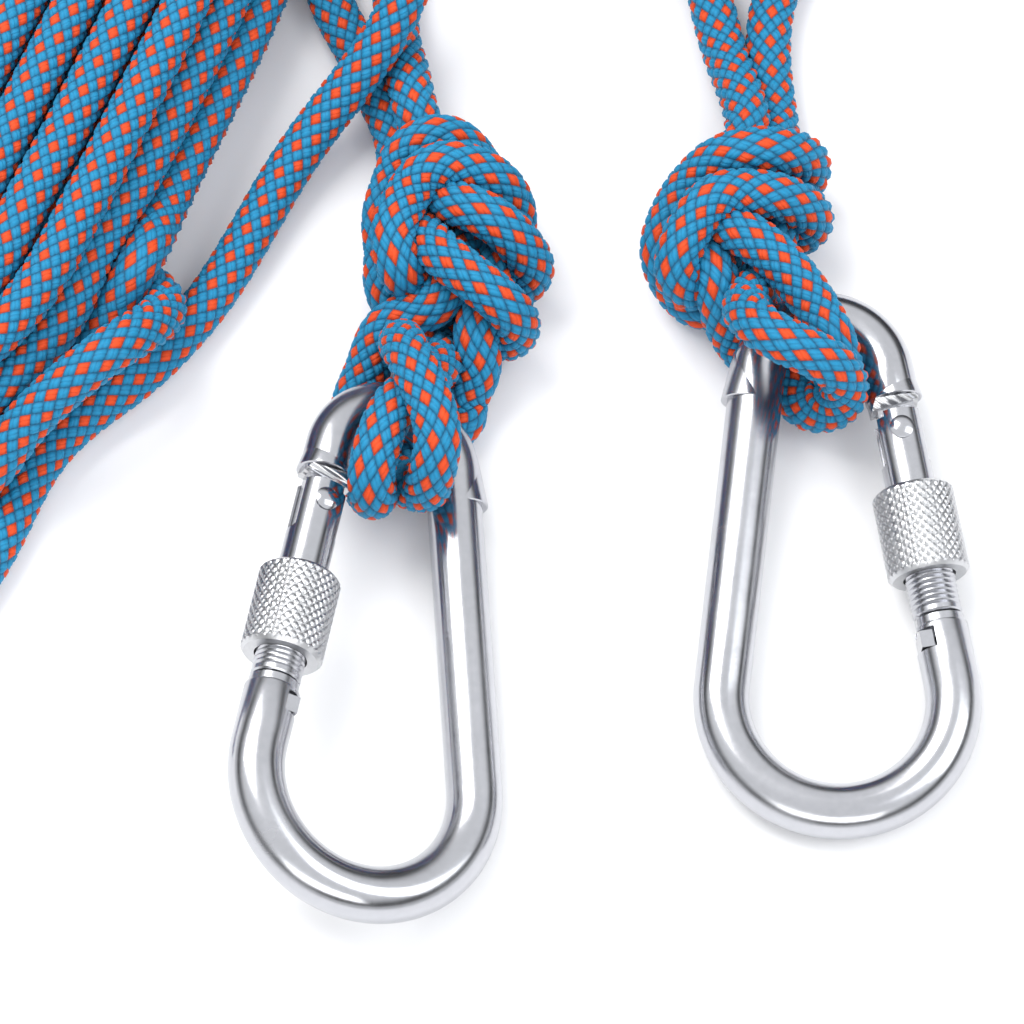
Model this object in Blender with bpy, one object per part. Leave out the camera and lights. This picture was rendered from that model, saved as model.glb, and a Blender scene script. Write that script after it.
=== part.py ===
"""Folded rope ladder with tube rungs, doubled rope rails and two screw-gate snap hooks.

Units are metres, +Z is up and the ladder lies folded on the ground plane Z = 0.
The six rungs are stacked two high, their long axis along X.  The rail ropes leave
both ends of every rung, are gathered beside the stack, and the top of each rail is
tied into a snap hook lying in front of it.
"""
import bpy
import bmesh
import math
import numpy as np
from mathutils import Matrix, Vector

MM = 0.001

# ----------------------------------------------------------------- dimensions
ORIGIN = (95.34, 76.71)         # mm, ground point under the middle of rungs and hooks

ROPE_D = 8.8                  # braided rope
GAP = 0.3                     # running and assembly clearance

HOOK_WIRE = 10.0              # bar of the snap hook
HOOK_R_TOP = 11.8             # centreline radius of the narrow end
HOOK_R_BOTTOM = 20.6          # centreline radius of the wide end
HOOK_CENTRES = 61.0           # distance between the two arc centres

SHOULDER_S = 6.3              # along the gate leg, from the end of the narrow arc
PIN_S = 12.9
TONGUE_END_S = 17.3
GATE_S = (8.6, 48.0)
GATE_R = 4.5
SLEEVE_S = (24.0, 40.5)
SLEEVE_R = 7.4
SLEEVE_BORE_R = 4.8
NOSE_S = 48.3
NOSE_NECK_S = 51.6

RUNG_LENGTH = 240.0
RUNG_FLATS = 32.0             # octagon, across flats
RUNG_BORE_R = 11.5
RUNG_PITCH = 32.3
RUNG_X0 = 0.0                 # left end of the stack
RUNG_Y0 = 140.0               # front of the stack

# ------------------------------------------------------------------ the scene
for o in list(bpy.data.objects):
    bpy.data.objects.remove(o, do_unlink=True)

root = bpy.data.objects.new("ladder_origin", None)
bpy.context.scene.collection.objects.link(root)
root.location = (-ORIGIN[0] * MM, -ORIGIN[1] * MM, 0.0)


def material(name, colour, roughness, metallic):
    m = bpy.data.materials.new(name)
    m.use_nodes = True
    b = m.node_tree.nodes["Principled BSDF"]
    b.inputs["Base Color"].default_value = (*colour, 1.0)
    b.inputs["Roughness"].default_value = roughness
    b.inputs["Metallic"].default_value = metallic
    m.diffuse_color = (*colour, 1.0)
    return m


STEEL = material("zinc_plated_steel", (0.78, 0.79, 0.81), 0.18, 1.0)
KNURL = material("knurled_steel", (0.72, 0.73, 0.75), 0.38, 1.0)
SPRING = material("spring_steel", (0.55, 0.56, 0.58), 0.3, 1.0)
ROPE = material("blue_braided_rope", (0.03, 0.33, 0.62), 0.75, 0.0)
RUNG = material("rung_plastic", (0.05, 0.052, 0.055), 0.5, 0.0)
BUSH = material("bush_rubber", (0.85, 0.2, 0.03), 0.6, 0.0)


def add(name, bm, mat, parent=None, matrix=None, smooth=True):
    """One named object from a bmesh in millimetres."""
    bmesh.ops.recalc_face_normals(bm, faces=bm.faces)
    bmesh.ops.scale(bm, vec=(MM, MM, MM), verts=bm.verts)
    me = bpy.data.meshes.new(name)
    bm.to_mesh(me)
    bm.free()
    me.materials.append(mat)
    if smooth:
        me.shade_smooth()
        me.set_sharp_from_angle(angle=math.radians(35))
    o = bpy.data.objects.new(name, me)
    bpy.context.scene.collection.objects.link(o)
    o.parent = parent if parent else root
    if matrix is not None:
        o.matrix_local = matrix
    return o


def boolean(target, cutter, operation):
    m = target.modifiers.new(operation.lower(), "BOOLEAN")
    m.operation = operation
    m.object = cutter
    m.solver = "EXACT"
    cutter.hide_render = True
    cutter.display_type = "WIRE"
    return m


def box(lo, hi):
    bm = bmesh.new()
    bmesh.ops.create_cube(bm, size=1.0)
    for v in bm.verts:
        v.co = Vector([lo[i] + (v.co[i] + 0.5) * (hi[i] - lo[i]) for i in range(3)])
    return bm


def lathe(profile, sides, axis_point, axis_dir, side_dir):
    """Closed solid turned round an axis; profile is a loop of (along, radius)."""
    a = Vector(axis_dir).normalized()
    u = Vector(side_dir)
    u = (u - a * u.dot(a)).normalized()
    w = a.cross(u)
    c = Vector(axis_point)
    bm = bmesh.new()
    rows = []
    for s, r in profile:
        if r < 1e-9:
            rows.append([bm.verts.new(c + a * s)])
        else:
            rows.append([bm.verts.new(c + a * s + (u * math.cos(t) + w * math.sin(t)) * r)
                         for t in (2 * math.pi * k / sides for k in range(sides))])
    n = len(rows)
    for i in range(n):
        p, q = rows[i], rows[(i + 1) % n]
        if len(p) == 1 and len(q) == 1:
            continue
        for k in range(sides):
            l = (k + 1) % sides
            if len(p) == 1:
                bm.faces.new((p[0], q[k], q[l]))
            elif len(q) == 1:
                bm.faces.new((p[k], p[l], q[0]))
            else:
                bm.faces.new((p[k], p[l], q[l], q[k]))
    return bm


def sweep(points, radii, sides, binormal):
    """Round bar along a path that lies in the plane perpendicular to binormal."""
    bm = bmesh.new()
    z = Vector(binormal)
    rows = []
    for i, (p, r) in enumerate(zip(points, radii)):
        a = Vector(points[max(i - 1, 0)])
        b = Vector(points[min(i + 1, len(points) - 1)])
        t = (b - a).normalized()
        u = t.cross(z)
        rows.append([bm.verts.new(Vector(p) + (u * math.cos(k) + z * math.sin(k)) * r)
                     for k in (2 * math.pi * j / sides for j in range(sides))])
    for p, q in zip(rows, rows[1:]):
        for k in range(sides):
            l = (k + 1) % sides
            bm.faces.new((p[k], p[l], q[l], q[k]))
    bm.faces.new(rows[0])
    bm.faces.new(rows[-1])
    return bm


# ------------------------------------------------------------------ snap hooks
# Local frame of a hook: origin at the centre of the narrow arc, +X towards the
# gate, +Y towards the narrow end, +Z along the hinge pin.
BETA = math.asin((HOOK_R_BOTTOM - HOOK_R_TOP) / HOOK_CENTRES)
LEG = Vector((math.sin(BETA), -math.cos(BETA), 0.0))       # down the gate leg
LEG_OUT = Vector((math.cos(BETA), math.sin(BETA), 0.0))    # away from the middle
LEG_START = LEG_OUT * HOOK_R_TOP
LEG_LENGTH = HOOK_CENTRES * math.cos(BETA)


def on_leg(s, out=0.0, z=0.0):
    return LEG_START + LEG * s + LEG_OUT * out + Vector((0, 0, z))


def bar_path(arc_top=14, arc_bottom=18):
    """Centreline from the nose, round the wide end, up the back, over to the hinge."""
    pts, rad = [], []
    r = HOOK_WIRE / 2
    for s, rr in ((NOSE_S, 4.3), (NOSE_S + 0.25, GATE_R), (NOSE_NECK_S, GATE_R), (NOSE_NECK_S + 0.3, r), (LEG_LENGTH - 3.0, r)):
        pts.append(on_leg(s))
        rad.append(rr)
    for k in range(arc_bottom + 1):
        a = BETA - (math.pi + 2 * BETA) * k / arc_bottom
        pts.append(Vector((math.cos(a) * HOOK_R_BOTTOM, math.sin(a) * HOOK_R_BOTTOM - HOOK_CENTRES, 0)))
        rad.append(r)
    for k in range(arc_top + 1):
        a = math.pi - BETA - (math.pi - 2 * BETA) * k / arc_top
        pts.append(Vector((math.cos(a) * HOOK_R_TOP, math.sin(a) * HOOK_R_TOP, 0)))
        rad.append(r)
    pts.append(on_leg(SHOULDER_S))
    rad.append(r)
    return pts, rad


def hook_pose(x, y, up, roll_deg, gate_right):
    """Matrix of a hook that lies on the ground: up is its long axis, roll lifts its
    right-hand side, and the height makes its lowest point touch the ground."""
    ey = Vector(up).normalized()
    side = ey.cross(Vector((0, 0, 1))).normalized()
    lift = side.cross(ey)
    c, s = math.cos(math.radians(roll_deg)), math.sin(math.radians(roll_deg))
    right = side * c + lift * s
    ex = right if gate_right else -right
    ez = ex.cross(ey)
    turn = Matrix((ex, ey, ez)).transposed()
    low = min((turn @ p).z - r for p, r in zip(*bar_path()))
    return Matrix.Translation(Vector((x, y, -low)) * MM) @ turn.to_4x4()


def tongue_box():
    bm = bmesh.new()
    bmesh.ops.create_cube(bm, size=1.0)
    for v in bm.verts:
        s = SHOULDER_S - 2.0 if v.co.y > 0 else TONGUE_END_S
        v.co = on_leg(s, v.co.x * 6.8, v.co.z * 3.8)
    return bm


def leg_block(s0, s1, out0, out1, half_z):
    bm = bmesh.new()
    bmesh.ops.create_cube(bm, size=1.0)
    for v in bm.verts:
        v.co = on_leg(s0 if v.co.y > 0 else s1, out1 if v.co.x > 0 else out0, half_z * (1 if v.co.z > 0 else -1))
    return bm


def leg_lathe(profile, sides):
    return lathe(profile, sides, LEG_START, LEG, (0, 0, 1))


def pin_lathe(profile, sides):
    return lathe(profile, sides, on_leg(PIN_S), (0, 0, 1), LEG)


def make_hook(side, matrix, sleeve_shift=0.0):
    frame = bpy.data.objects.new(side + "_hook_frame", None)
    bpy.context.scene.collection.objects.link(frame)
    frame.parent = root
    frame.matrix_local = matrix

    # bent bar with the flat hinge tongue and the slotted nose
    pts, rad = bar_path()
    body = add(side + "_hook_body", sweep(pts, rad, 16, (0, 0, 1)), STEEL, frame)
    boolean(body, add(side + "_hook_tongue_add", tongue_box(), STEEL, frame), "UNION")
    boolean(body, add(side + "_hook_pin_hole", pin_lathe(((-8, 0), (-8, 1.6), (8, 1.6), (8, 0)), 12), STEEL, frame), "DIFFERENCE")
    boolean(body, add(side + "_hook_nose_slot", leg_block(NOSE_S - 2, 53.2, -6.5, 1.8, 2.1), STEEL, frame), "DIFFERENCE")

    # gate: a bored bar, forked over the tongue, with a flat latch that enters the nose
    gate_frame = bpy.data.objects.new(side + "_gate_axis", None)
    bpy.context.scene.collection.objects.link(gate_frame)
    gate_frame.parent = frame
    gate_frame.location = on_leg(PIN_S) * MM
    back = Matrix.Translation(-on_leg(PIN_S) * MM)
    s0, s1 = GATE_S
    gate = add(side + "_gate", leg_lathe(((s0, 0), (s0, GATE_R - 0.6), (s0 + 0.6, GATE_R), (s1 - 0.3, GATE_R), (s1, GATE_R - 0.3), (s1, 0)), 18), STEEL, gate_frame, back)
    boolean(gate, add(side + "_gate_latch_add", leg_block(s1 - 1, 52.2, -4.1, 1.2, 1.8), STEEL, gate_frame, back), "UNION")
    boolean(gate, add(side + "_gate_fork_slot", leg_block(s0 - 2, 18.9, -7, 7, 2.2), STEEL, gate_frame, back), "DIFFERENCE")
    boolean(gate, add(side + "_gate_bore", leg_lathe(((17, 0), (17, 2.45), (38, 2.45), (38, 0)), 12), STEEL, gate_frame, back), "DIFFERENCE")
    boolean(gate, add(side + "_gate_pin_hole", pin_lathe(((-8, 0), (-8, 1.6), (8, 1.6), (8, 0)), 12), STEEL, gate_frame, back), "DIFFERENCE")

    add(side + "_gate_pin", pin_lathe(((-5.25, 0), (-5.25, 1.5), (-4.85, 2.1), (-4.8, 1.25), (4.8, 1.25), (4.85, 2.1), (5.25, 1.5), (5.25, 0)), 12), STEEL, frame)
    add(side + "_gate_plunger", leg_lathe(((17.6, 0), (17.6, 1.7), (18.0, 2.15), (22.0, 2.15), (22.2, 0.9), (28.0, 0.9), (28.0, 0)), 12), STEEL, gate_frame, back)

    # return spring behind the plunger
    turns, steps, sides = 7, 10, 5
    bm = bmesh.new()
    rows = []
    for i in range(turns * steps + 1):
        a = 2 * math.pi * i / steps
        c = Vector((math.cos(a) * 1.5, math.sin(a) * 1.5))
        s = 23.8 + 13.4 * i / (turns * steps)
        centre = on_leg(s, c.x, c.y)
        out = (LEG_OUT * c.x + Vector((0, 0, 1)) * c.y).normalized()
        rows.append([bm.verts.new(centre + (out * math.cos(k) + LEG * math.sin(k)) * 0.33)
                     for k in (2 * math.pi * j / sides for j in range(sides))])
    for p, q in zip(rows, rows[1:]):
        for k in range(sides):
            bm.faces.new((p[k], p[(k + 1) % sides], q[(k + 1) % sides], q[k]))
    bm.faces.new(rows[0])
    bm.faces.new(rows[-1])
    add(side + "_gate_spring", bm, SPRING, gate_frame, back)

    # knurled locking sleeve, screwed back from the nose
    a, b = SLEEVE_S[0] + sleeve_shift, SLEEVE_S[1] + sleeve_shift
    ro, ri, c = SLEEVE_R, SLEEVE_BORE_R, 0.7
    add(side + "_lock_sleeve", leg_lathe(((a, ri), (a, ro - c), (a + c, ro), (b - c, ro), (b, ro - c), (b, ri)), 28), KNURL, gate_frame, back)
    return frame


RIGHT_HOOK = hook_pose(56.4, 21.5, (-0.0217, 0.9974, 0.0692), 0.0, True)
LEFT_HOOK = hook_pose(-21.5, 3.2, (0.0645, 0.9969, -0.0300), -23.7, False)
make_hook("right", RIGHT_HOOK)
make_hook("left", LEFT_HOOK, 3.0)

# ----------------------------------------------------------------------- rungs
rung_centres = []
for k in range(6):
    column, layer = k % 3, k // 3
    if layer == 1:
        column = 2 - column
    y = RUNG_Y0 + RUNG_FLATS / 2 + column * RUNG_PITCH
    z = RUNG_FLATS / 2 + layer * RUNG_PITCH
    rung_centres.append((y, z))
    half = RUNG_FLATS / 2
    corner = half / math.cos(math.pi / 8)
    name = "rung_%d" % (k + 1)
    x0, x1 = RUNG_X0 + 2.0, RUNG_X0 + RUNG_LENGTH - 2.0
    bm = bmesh.new()
    outer = [[bm.verts.new((x, y + corner * math.sin(math.pi / 8 + j * math.pi / 4), z + corner * math.cos(math.pi / 8 + j * math.pi / 4))) for j in range(8)] for x in (x0, x1)]
    for j in range(8):
        bm.faces.new((outer[0][j], outer[0][(j + 1) % 8], outer[1][(j + 1) % 8], outer[1][j]))
    bm.faces.new(outer[0])
    bm.faces.new(outer[1])
    rung = add(name, bm, RUNG, smooth=False)
    bore = lathe(((x0 - 5, 0), (x0 - 5, RUNG_BORE_R + 1.2), (x1 + 5, RUNG_BORE_R + 1.2), (x1 + 5, 0)), 16, (0, y, z), (1, 0, 0), (0, 0, 1))
    boolean(rung, add(name + "_bore", bore, RUNG), "DIFFERENCE")
    # rubber bush in each mouth, so that the rope doesn't run over the tube's edge
    for side, xe, d in (("left", RUNG_X0, 1.0), ("right", RUNG_X0 + RUNG_LENGTH, -1.0)):
        prof = ((0, 10.2), (0, 13.8), (1.7, 14.4), (1.7, 12.4), (12.0, 12.4), (12.0, 10.6))
        add("%s_bush_%d" % (side, k + 1), lathe(prof, 16, (xe, y, z), (d, 0, 0), (0, 0, 1)), BUSH)

# ----------------------------------------------------------------------- ropes


def spline(knots, spacing):
    """Points at about this spacing on a smooth curve through the route's points."""
    k = [Vector(p) for p in knots]
    k = [k[0] * 2 - k[1]] + k + [k[-1] * 2 - k[-2]]
    dense = []
    for a, b, c, d in zip(k, k[1:], k[2:], k[3:]):
        for i in range(24):
            t = i / 24.0
            dense.append(0.5 * ((2 * b) + (c - a) * t + (2 * a - 5 * b + 4 * c - d) * t * t + (3 * b - a - 3 * c + d) * t ** 3))
    dense.append(k[-2])
    length = [0.0]
    for p, q in zip(dense, dense[1:]):
        length.append(length[-1] + (q - p).length)
    n = max(2, int(round(length[-1] / spacing)))
    out = []
    for i in range(n + 1):
        s = length[-1] * i / n
        j = min(int(np.searchsorted(length, s, side="right")) - 1, len(dense) - 2)
        f = (s - length[j]) / max(length[j + 1] - length[j], 1e-9)
        out.append(dense[j].lerp(dense[j + 1], f))
    return out


def rope(name, knots, diameter=ROPE_D, spacing=None, resolution=2):
    cu = bpy.data.curves.new(name, "CURVE")
    cu.dimensions = "3D"
    cu.bevel_depth = diameter / 2 * MM
    cu.bevel_resolution = resolution
    cu.use_fill_caps = True
    sp = cu.splines.new("POLY")
    pts = spline(knots, spacing or 2.0 * diameter)
    sp.points.add(len(pts) - 1)
    for p, q in zip(sp.points, pts):
        p.co = (q.x * MM, q.y * MM, q.z * MM, 1.0)
    cu.materials.append(ROPE)
    o = bpy.data.objects.new(name, cu)
    bpy.context.scene.collection.objects.link(o)
    o.parent = root
    return o


def lump(name, centre, radii, turn_deg, hook=None):
    """Outer shape of a knot; with a hook, a tunnel for the hook's narrow arc."""
    bm = bmesh.new()
    bmesh.ops.create_uvsphere(bm, u_segments=16, v_segments=9, radius=1.0)
    m = Matrix.Translation(Vector(centre)) @ Matrix.Rotation(math.radians(turn_deg), 4, "Z") @ Matrix.Diagonal((*radii, 1.0))
    bmesh.ops.transform(bm, matrix=m, verts=bm.verts)
    o = add(name, bm, ROPE)
    if hook is not None:
        ring = bmesh.new()
        rows = []
        for i in range(24):
            a = 2 * math.pi * i / 24
            rows.append([ring.verts.new(((HOOK_R_TOP + 5.6 * math.cos(b)) * math.cos(a), (HOOK_R_TOP + 5.6 * math.cos(b)) * math.sin(a), 5.6 * math.sin(b)))
                         for b in (2 * math.pi * j / 12 for j in range(12))])
        for i in range(24):
            p, q = rows[i], rows[(i + 1) % 24]
            for j in range(12):
                ring.faces.new((p[j], p[(j + 1) % 12], q[(j + 1) % 12], q[j]))
        cutter = add(name + "_tunnel", ring, ROPE, None, hook)
        boolean(o, cutter, "DIFFERENCE")
    return o


def slab(name, spine, widths, z0, z1):
    """Outer shape of a flat hank: a band of the given widths along a curved spine."""
    pts = [Vector((p.x, p.y, 0)) for p in spline([(x, y, 0) for x, y in spine], 9.0)]
    n = len(pts)
    bm = bmesh.new()
    left, right = [], []
    for i, p in enumerate(pts):
        t = (pts[min(i + 1, n - 1)] - pts[max(i - 1, 0)]).normalized()
        side = Vector((-t.y, t.x, 0))
        f = i / (n - 1) * (len(widths) - 1)
        k = min(int(f), len(widths) - 2)
        w = widths[k] + (widths[k + 1] - widths[k]) * (f - k)
        left.append(p + side * w / 2)
        right.append(p - side * w / 2)
    cap0 = []
    t = (pts[0] - pts[1]).normalized()
    for k in range(1, 6):
        a = math.pi * k / 6
        side = (left[0] - right[0]) / 2
        cap0.append(pts[0] + side * math.cos(a) + t * side.length * 0.8 * math.sin(a))
    ring = left[::-1] + cap0 + right
    top = [bm.verts.new((p.x, p.y, z1)) for p in ring]
    low = [bm.verts.new((p.x, p.y, z0)) for p in ring]
    m = len(ring)
    for i in range(m):
        j = (i + 1) % m
        bm.faces.new((low[i], low[j], top[j], top[i]))
    bm.faces.new(top)
    bm.faces.new(low)
    bmesh.ops.triangulate(bm, faces=[f for f in bm.faces if len(f.verts) > 4])
    return add(name, bm, ROPE, smooth=False)


# knots tied on a bight, and the loops that hold the narrow end of each hook
lump("left_knot", (-9.8, 50.5, 13.4), (15.0, 20.5, 13.1), 8)
lump("left_loop", (-20.5, 12.5, 15.6), (10.8, 16.0, 15.2), -4, LEFT_HOOK)
lump("right_knot", (41.8, 56.5, 13.4), (16.5, 16.5, 13.1), 0)
lump("right_loop", (53.0, 25.5, 13.8), (12.0, 14.0, 13.4), 30, RIGHT_HOOK)

# top of the left rail, from the knot to the mouth of the first rung
rope("left_tail_front", ((-18.6, 74.0, 8.5), (-23.5, 82.5, 6.5), (-34.0, 104.3, 4.8), (-36.2, 115.0, 4.8), (-33.5, 127.0, 4.8), (-27.0, 140.0, 5.5), (-15.0, 152.0, 8.5), (-2.2, 155.5, 10.5)))
rope("left_tail_back", ((-7.8, 74.5, 8.5), (-14.0, 88.0, 7.0), (-22.0, 104.3, 5.0), (-23.0, 116.0, 5.5), (-18.5, 129.0, 11.5), (-13.5, 140.5, 18.5), (-9.0, 149.6, 21.0), (-2.6, 151.2, 21.5)))
# top of the right rail, round the front of the stack to its right-hand end
rope("right_tail_front", ((41.3, 74.5, 8.5), (40.8, 82.0, 6.5), (37.7, 104.3, 4.8), (36.5, 118.0, 4.8), (46.0, 131.5, 4.8), (75.0, 134.8, 4.8), (150.0, 134.5, 4.8), (222.0, 134.0, 4.8), (246.0, 137.0, 6.0), (255.5, 146.5, 10.0), (252.5, 155.0, 11.5), (242.2, 156.0, 11.5)))
rope("right_tail_back", ((51.0, 73.5, 8.5), (51.0, 84.0, 6.5), (50.5, 104.3, 4.8), (56.0, 117.0, 4.8), (74.0, 124.8, 4.8), (150.0, 124.6, 4.8), (228.0, 124.0, 5.0), (250.0, 127.0, 9.0), (260.5, 139.0, 17.0), (257.0, 153.0, 21.5), (242.2, 156.5, 22.0)))
# free end of the left rail below the last rung: runs out along the hank
rope("left_free_end", ((-2.2, 156.0, 52.0), (-9.0, 152.5, 51.0), (-13.0, 138.0, 46.0), (-13.0, 119.0, 35.0), (-19.9, 96.0, 21.0), (-32.0, 77.5, 12.5), (-41.5, 64.5, 8.0), (-57.0, 41.5, 4.9), (-69.5, 27.5, 4.8), (-84.0, 14.5, 4.8), (-91.5, 1.0, 4.8), (-98.0, -16.0, 4.8)))
# free ends of the right rail, stopped at the mouth of the last rung
lump("right_end_knot", (253.0, 156.0, 48.3), (11.5, 11.0, 11.0), 0)
# gathered bights of both rails
slab("left_hank", ((-104.0, 39.0), (-92.5, 59.0), (-63.5, 108.0), (-58.0, 140.0), (-49.0, 168.0), (-30.0, 190.0), (-4.0, 193.0)), (46.0, 46.0, 44.0, 38.0, 36.0, 46.0, 50.0), 0.0, 25.5)
slab("right_hank", ((285.0, 48.0), (285.0, 80.0), (286.0, 120.0), (284.0, 156.0), (269.0, 187.0), (246.0, 192.0)), (40.0, 40.0, 34.0, 26.0, 38.0, 54.0), 0.0, 34.5)
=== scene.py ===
"""Looks of the folded rope ladder: braided rope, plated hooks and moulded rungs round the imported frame.

Lengths here are millimetres in the layout's own frame (origin in the middle of the
camera's view, on the ground); world() turns them into metres in the row frame.
"""

import bpy
import bmesh
import math
import numpy as np
from mathutils import Matrix, Vector

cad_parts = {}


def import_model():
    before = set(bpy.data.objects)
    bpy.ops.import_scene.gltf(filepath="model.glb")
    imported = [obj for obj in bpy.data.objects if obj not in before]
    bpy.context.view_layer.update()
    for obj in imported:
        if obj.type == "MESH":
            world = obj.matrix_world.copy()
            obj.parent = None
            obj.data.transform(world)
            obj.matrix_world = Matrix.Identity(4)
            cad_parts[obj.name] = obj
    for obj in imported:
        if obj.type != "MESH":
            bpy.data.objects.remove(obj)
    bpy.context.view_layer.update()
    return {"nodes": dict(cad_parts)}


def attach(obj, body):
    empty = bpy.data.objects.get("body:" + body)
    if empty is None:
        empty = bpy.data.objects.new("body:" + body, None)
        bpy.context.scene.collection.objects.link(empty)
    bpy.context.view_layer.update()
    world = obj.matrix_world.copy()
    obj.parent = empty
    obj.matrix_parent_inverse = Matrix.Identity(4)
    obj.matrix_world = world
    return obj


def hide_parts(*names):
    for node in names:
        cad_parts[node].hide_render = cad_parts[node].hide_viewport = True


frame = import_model()

MM = 0.001
ORIGIN = np.array([95.34, 76.71, 0.0])
D = 8.8
R = D / 2


def world(p):
    return (np.asarray(p, float) - ORIGIN) * MM


# ---------------------------------------------------------------------- camera
ELEVATION = math.radians(66.0)
DISTANCE = 900.0
VIEW_K = 5.5 * DISTANCE
EYE = np.array([0.0, -DISTANCE * math.cos(ELEVATION), DISTANCE * math.sin(ELEVATION)])
cam_data = bpy.data.cameras.new("camera")
cam = bpy.data.objects.new("camera", cam_data)
bpy.context.scene.collection.objects.link(cam)
cam.location = world(EYE)
cam.rotation_euler = (math.pi / 2 - ELEVATION, 0, 0)
cam_data.sensor_width = 36.0
cam_data.lens = 36.0 * VIEW_K / 1024.0
cam_data.clip_start, cam_data.clip_end = 0.05, 20.0
bpy.context.scene.camera = cam


def at(u, v, z):
    """The point at height z that shows at (u, v) in a view 1024 wide."""
    fwd = np.array([0.0, math.cos(ELEVATION), -math.sin(ELEVATION)])
    up = np.array([0.0, math.sin(ELEVATION), math.cos(ELEVATION)])
    d = fwd + np.array([(u - 512.0) / VIEW_K, 0.0, 0.0]) - up * ((v - 512.0) / VIEW_K)
    return EYE + d * ((z - EYE[2]) / d[2])


# ------------------------------------------------------------------- materials
def principled(name):
    m = bpy.data.materials.new(name)
    m.use_nodes = True
    nt = m.node_tree
    return m, nt, nt.nodes["Principled BSDF"]


def node(nt, kind, **inputs):
    n = nt.nodes.new(kind)
    for k, v in inputs.items():
        n.inputs[k.replace("_", " ")].default_value = v
    return n


def math_node(nt, op, a, b=None, clamp=False):
    n = nt.nodes.new("ShaderNodeMath")
    n.operation = op
    n.use_clamp = clamp
    for i, x in enumerate((a, b)):
        if x is None:
            continue
        if hasattr(x, "is_output"):
            nt.links.new(x, n.inputs[i])
        else:
            n.inputs[i].default_value = x
    return n.outputs[0]


def yarn_material(name, light, dark, seed):
    """Two-ply yarn: grooves and fibres follow the yarn through its own coordinates. The dark colour is painted shade,
    laid in towards each yarn's edges and ends where the yarns meet, and along the groove between its two plies.
    """
    m, nt, b = principled(name)
    uv = nt.nodes.new("ShaderNodeUVMap")
    uv.uv_map = "yarn"
    sep = nt.nodes.new("ShaderNodeSeparateXYZ")
    nt.links.new(uv.outputs[0], sep.inputs[0])
    across = math_node(nt, "SUBTRACT", sep.outputs[0], 0.5)
    along = math_node(nt, "SUBTRACT", sep.outputs[1], 0.5)
    edge = math_node(nt, "MULTIPLY", math_node(nt, "ABSOLUTE", across), 2.0)
    end = math_node(nt, "MULTIPLY", math_node(nt, "ABSOLUTE", along), 2.0)
    # painted shade: darker towards each yarn's edges and ends, most in its corners, where the gaps between yarns fall
    # in shade
    far = math_node(nt, "ADD", math_node(nt, "POWER", edge, 3.4), math_node(nt, "POWER", end, 4.2), clamp=True)
    ply = math_node(nt, "MULTIPLY", across, across)
    ply = math_node(nt, "MULTIPLY", ply, -120.0)
    ply = math_node(nt, "EXPONENT", ply)
    geo = nt.nodes.new("ShaderNodeTexCoord")
    noise = node(nt, "ShaderNodeTexNoise", Scale=220.0, Detail=2.0, Roughness=0.6)
    nt.links.new(geo.outputs["Object"], noise.inputs["Vector"])
    stretch = nt.nodes.new("ShaderNodeCombineXYZ")
    nt.links.new(math_node(nt, "MULTIPLY", sep.outputs[0], 26.0), stretch.inputs[0])
    nt.links.new(math_node(nt, "MULTIPLY", sep.outputs[1], 2.6), stretch.inputs[1])
    nt.links.new(math_node(nt, "MULTIPLY", noise.outputs[0], 6.0), stretch.inputs[2])
    fibre = node(nt, "ShaderNodeTexNoise", Scale=1.0, Detail=2.0, Roughness=0.55)
    nt.links.new(stretch.outputs[0], fibre.inputs["Vector"])
    mix = nt.nodes.new("ShaderNodeMix")
    mix.data_type = "RGBA"
    mix.inputs["A"].default_value = (*light, 1)
    mix.inputs["B"].default_value = (*dark, 1)
    # painted shade from the gaps between yarns and from the ply groove, plus the fibres' own tone, mixes in the dark
    # colour
    shade = math_node(nt, "ADD", math_node(nt, "MULTIPLY", far, 0.66), math_node(nt, "MULTIPLY", ply, 0.18))
    shade = math_node(nt, "ADD", shade, math_node(nt, "MULTIPLY", math_node(nt, "SUBTRACT", fibre.outputs[0], 0.45), 0.55), clamp=True)
    nt.links.new(shade, mix.inputs["Factor"])
    nt.links.new(mix.outputs["Result"], b.inputs["Base Color"])
    height = math_node(nt, "SUBTRACT", math_node(nt, "MULTIPLY", fibre.outputs[0], 0.45), math_node(nt, "MULTIPLY", ply, 0.8))
    bump = nt.nodes.new("ShaderNodeBump")
    bump.inputs["Strength"].default_value = 0.55
    bump.inputs["Distance"].default_value = 0.00022
    nt.links.new(height, bump.inputs["Height"])
    nt.links.new(bump.outputs[0], b.inputs["Normal"])
    b.inputs["Roughness"].default_value = 0.62
    b.inputs["Sheen Weight"].default_value = 0.06
    b.inputs["Sheen Roughness"].default_value = 0.5
    b.inputs["Specular IOR Level"].default_value = 0.35
    return m


# each yarn's second colour is its painted shade, used in the gaps between yarns and in the ply groove, and also for its
# darker fibres
BLUE = yarn_material("yarn_blue", (0.007, 0.245, 0.47), (0.0012, 0.030, 0.075), 1)
ORANGE = yarn_material("yarn_orange", (0.76, 0.068, 0.007), (0.16, 0.010, 0.002), 2)


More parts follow.
